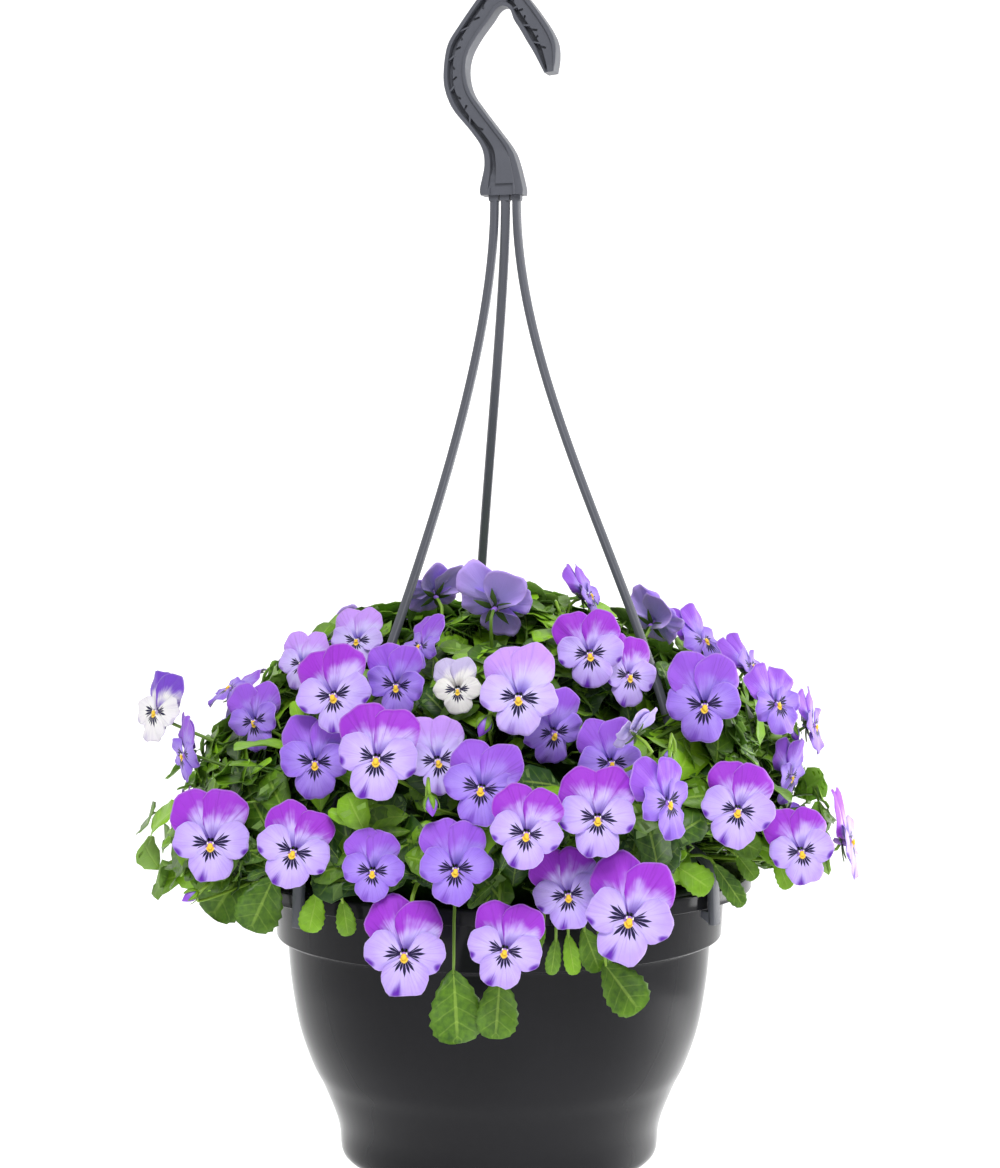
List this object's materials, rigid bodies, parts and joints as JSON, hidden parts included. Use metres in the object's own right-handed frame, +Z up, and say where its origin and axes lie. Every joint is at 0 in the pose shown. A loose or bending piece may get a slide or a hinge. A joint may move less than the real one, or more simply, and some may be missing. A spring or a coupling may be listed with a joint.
{
  "type": "viola hanging basket",
  "caption": "Round dark plastic hanging pot on stiff strands and a hook, planted with lilac and magenta violas in full bloom over toothed green leaves.",
  "frame": {"origin": "middle of the pot's flat underside", "axes": "+Z up along the pot's axis, towards the hook; -Y towards the front, where the most blooms face; +X to the right seen from the front"},
  "size_m": [0.3663, 0.3393, 0.5896],
  "materials": {
    "pot_plastic": "glossy injection-moulded plastic, anthracite",
    "hanger_plastic": "satin injection-moulded plastic, mid grey",
    "soil": "moist dark potting compost, crumbly",
    "foliage": "soft green leaves and stems with a slight sheen",
    "petal_crown": "velvety lilac petals with magenta-purple upper petals, dark whiskers and a yellow eye",
    "petal_lilac": "velvety plain lilac petals, dark whiskers and a yellow eye",
    "petal_pale": "velvety pale lilac and near-white petals, dark whiskers and a yellow eye"
  },
  "bodies": {
    "root": {"pot": "pot_plastic", "soil": "soil", "hook": "hanger_plastic", "strand_left": "hanger_plastic", "strand_back": "hanger_plastic", "strand_right": "hanger_plastic", "bloom_01": "petal_lilac", "bloom_02": "petal_lilac", "bloom_03": "petal_lilac", "bloom_04": "petal_lilac", "bloom_05": "petal_crown", "bloom_06": "petal_crown", "bloom_07": "petal_pale", "bloom_08": "petal_pale", "bloom_09": "petal_lilac", "bloom_10": "petal_lilac", "bloom_11": "petal_crown", "bloom_12": "petal_lilac", "bloom_13": "petal_crown", "bloom_14": "petal_pale", "bloom_15": "petal_lilac", "bloom_16": "petal_lilac", "bloom_17": "petal_pale", "bloom_18": "petal_lilac", "bloom_19": "petal_pale", "bloom_20": "petal_pale", "bloom_21": "petal_lilac", "bloom_22": "petal_pale", "bloom_23": "petal_lilac", "bloom_24": "petal_lilac", "bloom_25": "petal_lilac", "bloom_26": "petal_lilac", "bloom_27": "petal_lilac", "bloom_28": "petal_lilac", "bloom_29": "petal_lilac", "bloom_30": "petal_lilac", "bloom_31": "petal_crown", "bloom_32": "petal_crown", "bloom_33": "petal_crown", "bloom_34": "petal_crown", "bloom_35": "petal_crown", "bloom_36": "petal_lilac", "bloom_37": "petal_crown", "bloom_38": "petal_lilac", "bloom_39": "petal_lilac", "bloom_40": "petal_crown", "bloom_41": "petal_crown", "bloom_42": "petal_crown", "bloom_43": "petal_crown", "bloom_44": "petal_crown", "plant_front": "foliage", "spray_right_front": "foliage", "spray_right_back": "foliage", "spray_back_right": "foliage", "spray_back_left": "foliage", "spray_left_back": "foliage", "spray_left_front": "foliage"}
  },
  "joints": []
}
